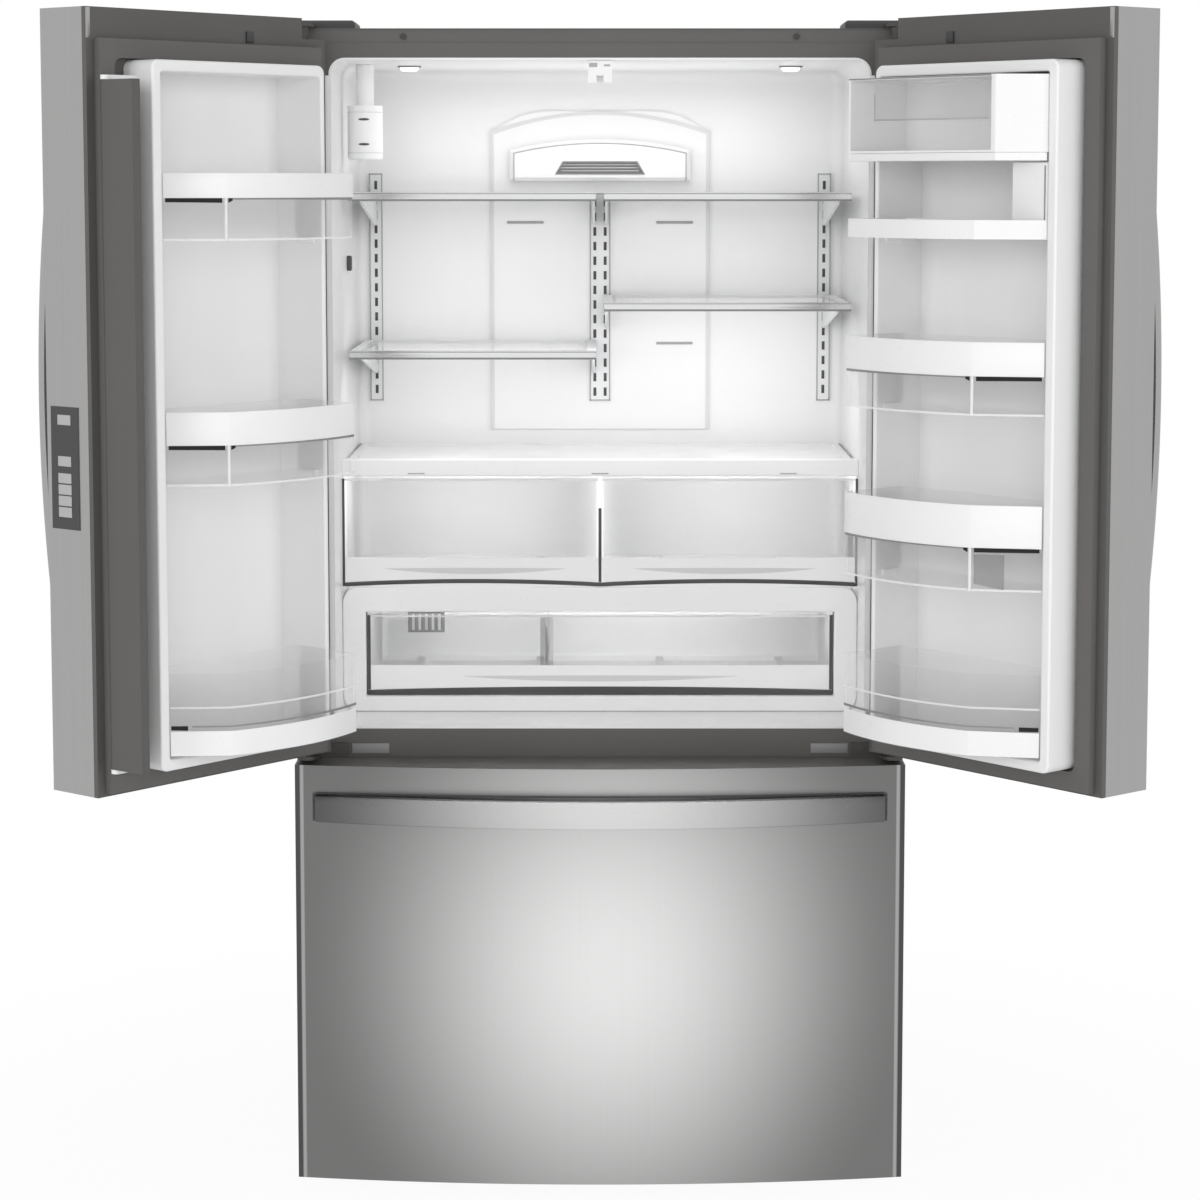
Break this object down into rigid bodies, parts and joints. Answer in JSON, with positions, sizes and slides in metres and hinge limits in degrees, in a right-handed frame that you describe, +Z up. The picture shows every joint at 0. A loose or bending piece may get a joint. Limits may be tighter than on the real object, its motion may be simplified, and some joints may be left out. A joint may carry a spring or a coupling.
{
  "type": "french door refrigerator",
  "caption": "Tall refrigerator with side-by-side swinging doors on a shelved fresh food space, door bins, pull-out crispers and a wide freezer drawer below.",
  "frame": {"origin": "on the floor, in the middle of the appliance with its doors swung open", "axes": "+Z up, +X to the viewer's right, and the front faces -Y"},
  "size_m": [1.5702, 1.0625, 1.755],
  "materials": {
    "brushed_steel_front": "vertical brushed stainless steel",
    "satin_handle": "satin stainless steel",
    "grey_case": "fine textured grey paint",
    "dark_trim": "moulded dark grey",
    "gasket_rubber": "soft ribbed seal",
    "white_liner": "vacuum formed white",
    "white_moulding": "moulded white",
    "clear_plastic": "clear moulded",
    "shelf_glass": "toughened clear",
    "shelf_metal": "pale powder coat",
    "hinge_steel": "dark painted steel",
    "black_plastic": "satin black",
    "bare_aluminium": "mill finish",
    "foam": "rigid foam"
  },
  "bodies": {
    "cabinet": {"cabinet_wrapper": "grey_case", "rear_panel": "shelf_metal", "insulation": "foam", "face_frame": "grey_case", "fresh_food_liner": "white_liner", "freezer_liner": "white_liner", "base_frame": "shelf_metal", "toe_grille": "dark_trim", "leveling_legs": "black_plastic", "air_tower": "white_moulding", "air_outlet": "white_moulding", "ceiling_lights": "shelf_glass", "mullion_guide": "white_moulding", "filter_head": "white_moulding", "shelf_tracks": "shelf_metal", "shelf_frames": "shelf_metal", "shelf_glass": "shelf_glass", "crisper_cover": "white_moulding", "pantry_housing": "white_moulding", "door_hinges": "hinge_steel", "hinge_covers": "dark_trim", "freezer_rails": "shelf_metal", "compressor": "black_plastic", "condenser": "bare_aluminium", "evaporator": "bare_aluminium"},
    "left_door": {"left_door_skin": "brushed_steel_front", "left_door_frame": "dark_trim", "left_door_liner": "white_liner", "left_gasket": "gasket_rubber", "left_handle": "satin_handle", "left_upper_bin": "clear_plastic", "left_middle_bin": "clear_plastic", "left_lower_bin": "clear_plastic", "control_panel": "black_plastic"},
    "mullion": {"mullion_bar": "dark_trim"},
    "right_door": {"right_door_skin": "brushed_steel_front", "right_door_frame": "dark_trim", "right_door_liner": "white_liner", "right_gasket": "gasket_rubber", "right_handle": "satin_handle", "dairy_box": "white_moulding", "right_shelf_bin": "white_moulding", "right_upper_bin": "clear_plastic", "right_middle_bin": "clear_plastic", "right_lower_bin": "clear_plastic"},
    "dairy_lid": {"dairy_lid": "clear_plastic"},
    "left_crisper": {"left_crisper": "clear_plastic"},
    "right_crisper": {"right_crisper": "clear_plastic"},
    "pantry_drawer": {"pantry_drawer": "clear_plastic"},
    "freezer_drawer": {"freezer_front_skin": "brushed_steel_front", "freezer_front_frame": "dark_trim", "freezer_gasket": "gasket_rubber", "freezer_handle": "satin_handle", "freezer_slides": "shelf_metal", "freezer_bin": "white_moulding", "freezer_basket": "clear_plastic"},
    "water_filter": {"water_filter": "white_moulding"},
    "rear_rollers": {"rear_rollers": "black_plastic"},
    "evaporator_fan": {"evaporator_fan": "black_plastic"},
    "condenser_fan": {"condenser_fan": "black_plastic"}
  },
  "joints": [
    {"name": "left_door_hinge", "type": "hinge", "parent": "cabinet", "child": "left_door", "pos_m": [-0.438, -0.13175, 1.2], "axis": [0, 0, -1], "range_deg": [-130, 0]},
    {"name": "right_door_hinge", "type": "hinge", "parent": "cabinet", "child": "right_door", "pos_m": [0.438, -0.13175, 1.2], "axis": [0, 0, 1], "range_deg": [-130, 0]},
    {"name": "mullion_fold", "type": "hinge", "parent": "left_door", "child": "mullion", "pos_m": [-0.66524, -0.48673, 1.2], "axis": [0, 0, 1], "range_deg": [-90.5, 0.5]},
    {"name": "dairy_lid_flip", "type": "hinge", "parent": "right_door", "child": "dairy_lid", "pos_m": [0.42132, -0.34678, 1.656], "axis": [-0.6428, 0.766, 0], "range_deg": [0, 85]},
    {"name": "left_crisper_slide", "type": "slide", "parent": "cabinet", "child": "left_crisper", "axis": [0, -1, 0], "range_m": [0, 0.26]},
    {"name": "right_crisper_slide", "type": "slide", "parent": "cabinet", "child": "right_crisper", "axis": [0, -1, 0], "range_m": [0, 0.26]},
    {"name": "pantry_slide", "type": "slide", "parent": "cabinet", "child": "pantry_drawer", "axis": [0, -1, 0], "range_m": [0, 0.28]},
    {"name": "freezer_slide", "type": "slide", "parent": "cabinet", "child": "freezer_drawer", "axis": [0, -1, 0], "range_m": [0, 0.38]},
    {"name": "filter_twist", "type": "hinge", "parent": "cabinet", "child": "water_filter", "pos_m": [-0.362, 0.10525, 1.6], "axis": [0, 0, 1], "range_deg": [0, 90]},
    {"name": "roller_spin", "type": "hinge", "parent": "cabinet", "child": "rear_rollers", "pos_m": [0, 0.47125, 0.021], "axis": [1, 0, 0], "continuous": true},
    {"name": "evaporator_fan_spin", "type": "hinge", "parent": "cabinet", "child": "evaporator_fan", "pos_m": [0, 0.38325, 0.56], "axis": [0, 1, 0], "continuous": true},
    {"name": "condenser_fan_spin", "type": "hinge", "parent": "cabinet", "child": "condenser_fan", "pos_m": [-0.066, 0.37525, 0.136], "axis": [1, 0, 0], "continuous": true}
  ],
  "couplings": [
    {"joint": "mullion_fold", "follows": "left_door_hinge", "ratio": 0.69231}
  ]
}
